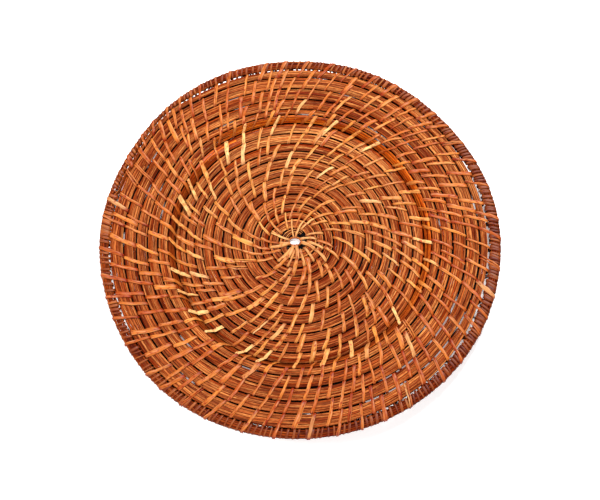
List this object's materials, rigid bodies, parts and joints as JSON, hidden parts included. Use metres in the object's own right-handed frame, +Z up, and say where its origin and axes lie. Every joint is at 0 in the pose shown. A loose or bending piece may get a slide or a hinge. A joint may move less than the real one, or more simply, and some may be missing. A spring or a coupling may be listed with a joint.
{
  "type": "coiled rattan charger",
  "caption": "Round coiled rattan charger that carries a dinner plate: a flat well, a steep riser, a gently sloping rim and a wrapped edge.",
  "frame": {"origin": "middle of the charger's outline, on the surface that the well's underside rests on", "axes": "+Z up, out of the open side of the well; +X and +Y lie in the surface, and the coil winds outwards counter-clockwise seen from above"},
  "size_m": [0.331, 0.3294, 0.019],
  "materials": {
    "well_rattan": "stained and lightly varnished shaved rattan reeds, satin",
    "riser_rattan": "stained and lightly varnished shaved rattan reeds, satin",
    "rim_rattan": "stained and lightly varnished shaved rattan reeds, satin",
    "edge_rattan": "stained rattan reeds wrapped in rattan peel, satin"
  },
  "bodies": {
    "root": {"well_coil": "well_rattan", "riser_coil": "riser_rattan", "rim_coil": "rim_rattan", "edge_coil": "edge_rattan"}
  },
  "joints": []
}
